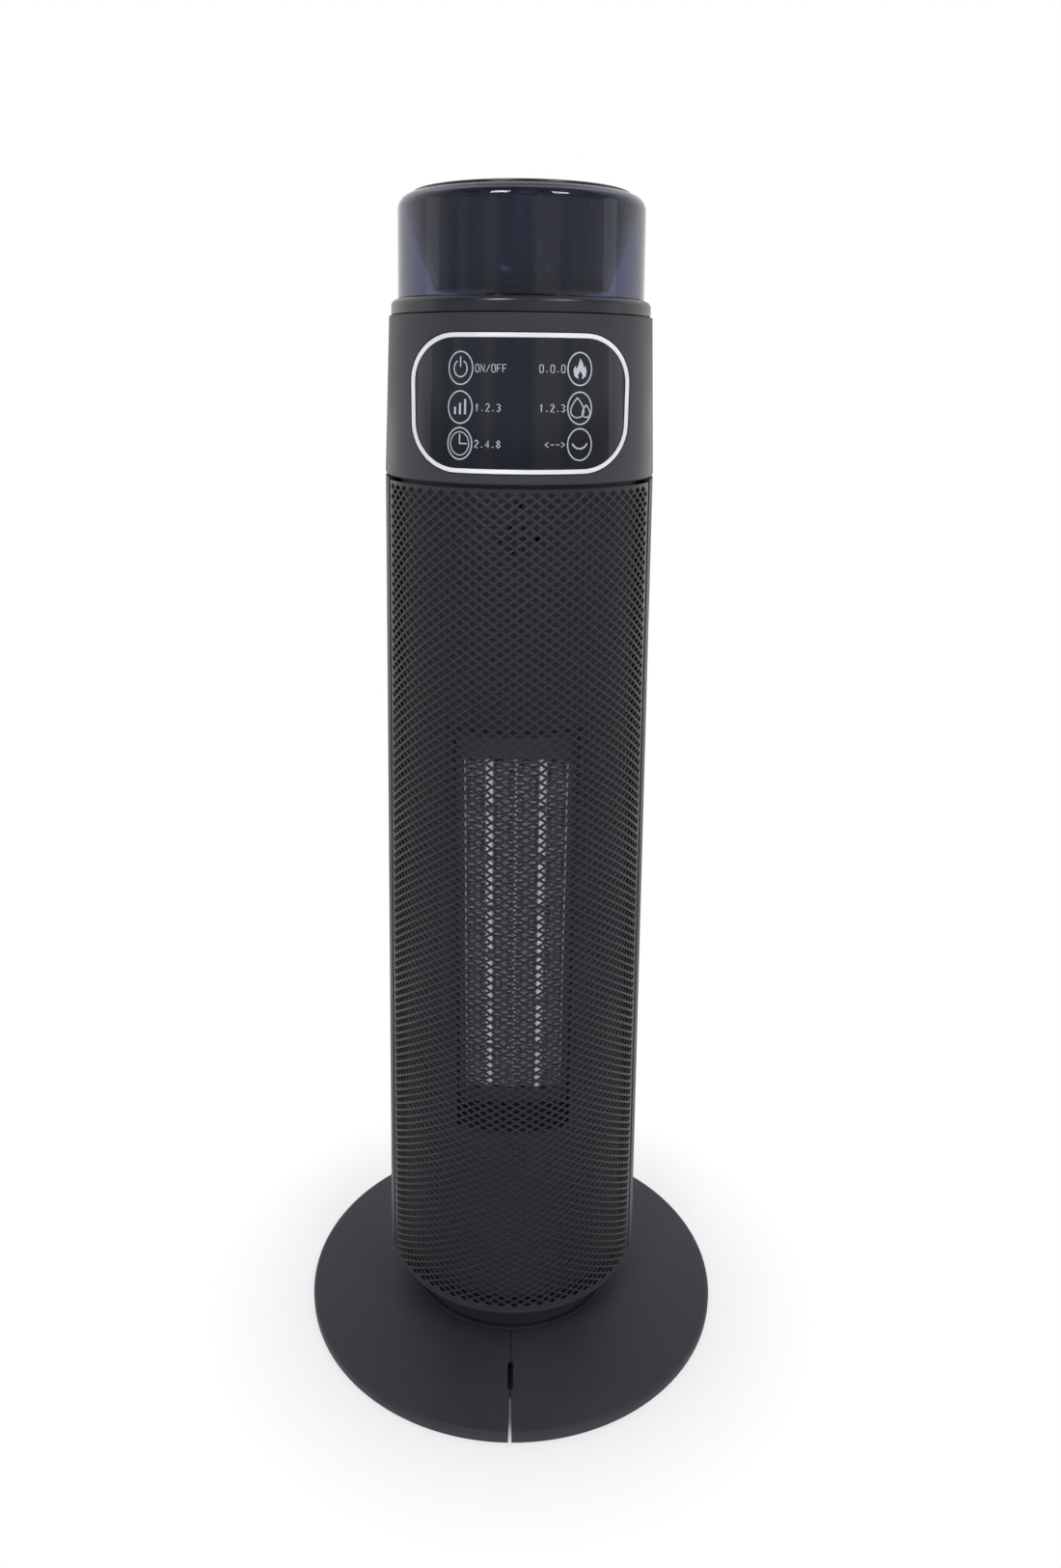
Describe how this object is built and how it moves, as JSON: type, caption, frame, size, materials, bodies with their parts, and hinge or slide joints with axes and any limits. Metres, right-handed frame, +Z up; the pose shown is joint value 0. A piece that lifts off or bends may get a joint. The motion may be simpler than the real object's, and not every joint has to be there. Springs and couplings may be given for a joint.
{
  "type": "tower fan heater",
  "caption": "Oscillating tower fan heater with a mesh front, touch panel, round foot and a blue mist and light head.",
  "frame": {"origin": "centre of the footprint, on the floor", "axes": "+Z up, the front with the mesh and the touch panel faces -Y"},
  "size_m": [0.246, 0.2458, 0.61],
  "materials": {
    "charcoal": "fine spark-eroded charcoal moulding",
    "mesh": "satin near-black moulded mesh",
    "gloss_black": "polished black",
    "trim_white": "pale silver print and trim",
    "blue_clear": "clear blue plastic, polished",
    "tank_dark": "smoky dark plastic",
    "inner_plastic": "dark heat-resistant plastic",
    "aluminium": "plain rolled band",
    "ceramic": "white ceramic",
    "steel": "plated steel",
    "brass": "plain brass",
    "rubber": "black rubber",
    "board_green": "circuit board",
    "gear_white": "white self-lubricating plastic"
  },
  "bodies": {
    "base": {"base_left": "charcoal", "base_right": "charcoal", "foot_pad_front_left": "rubber", "foot_pad_back_left": "rubber", "foot_pad_front_right": "rubber", "foot_pad_back_right": "rubber", "neck_collar": "charcoal", "slide_ring": "gear_white", "fixed_swing_gear": "gear_white"},
    "tower": {"bottom_cap": "charcoal", "rear_housing": "charcoal", "control_housing": "charcoal", "front_grille": "mesh", "touch_panel": "gloss_black", "trim_ring": "gloss_black", "buzzer": "gloss_black", "panel_bezel": "trim_white", "thermal_cutout": "trim_white", "blue_cover": "blue_clear", "water_tank": "tank_dark", "front_duct_cover": "inner_plastic", "heater_frame": "inner_plastic", "fan_housing": "inner_plastic", "tank_deck": "inner_plastic", "mist_cup": "inner_plastic", "mist_chimney": "inner_plastic", "tilt_switch": "inner_plastic", "fin_bank_1": "aluminium", "fin_bank_2": "aluminium", "fin_bank_3": "aluminium", "fin_bank_4": "aluminium", "centre_divider": "aluminium", "ceramic_bar_left": "ceramic", "ceramic_bar_right": "ceramic", "pivot_clip": "steel", "swing_motor": "steel", "motor_bracket": "steel", "fan_motor": "steel", "power_transformer": "steel", "bearing_bush": "brass", "mist_disc": "brass", "cord_gland": "rubber", "mist_seal": "rubber", "touch_board": "board_green", "power_board": "board_green", "light_ring": "board_green"},
    "pinion": {"swing_pinion": "gear_white"},
    "fan": {"fan_rotor": "inner_plastic", "motor_shaft": "steel"},
    "lid": {"tank_lid": "gloss_black"}
  },
  "joints": [
    {"name": "swing", "type": "hinge", "parent": "base", "child": "tower", "pos_m": [0, 0, 0.0359], "axis": [0, 0, 1], "range_deg": [-35, 35]},
    {"name": "pinion_turn", "type": "hinge", "parent": "tower", "child": "pinion", "pos_m": [0, -0.036, 0.0186], "axis": [0, 0, 1], "range_deg": [-75, 75]},
    {"name": "fan_spin", "type": "hinge", "parent": "tower", "child": "fan", "pos_m": [0, 0.012, 0.1705], "axis": [0, 0, 1], "continuous": true},
    {"name": "lid_lift", "type": "slide", "parent": "tower", "child": "lid", "axis": [0, 0, 1], "range_m": [0, 0.08]}
  ],
  "couplings": [
    {"joint": "pinion_turn", "follows": "swing", "ratio": 2}
  ]
}
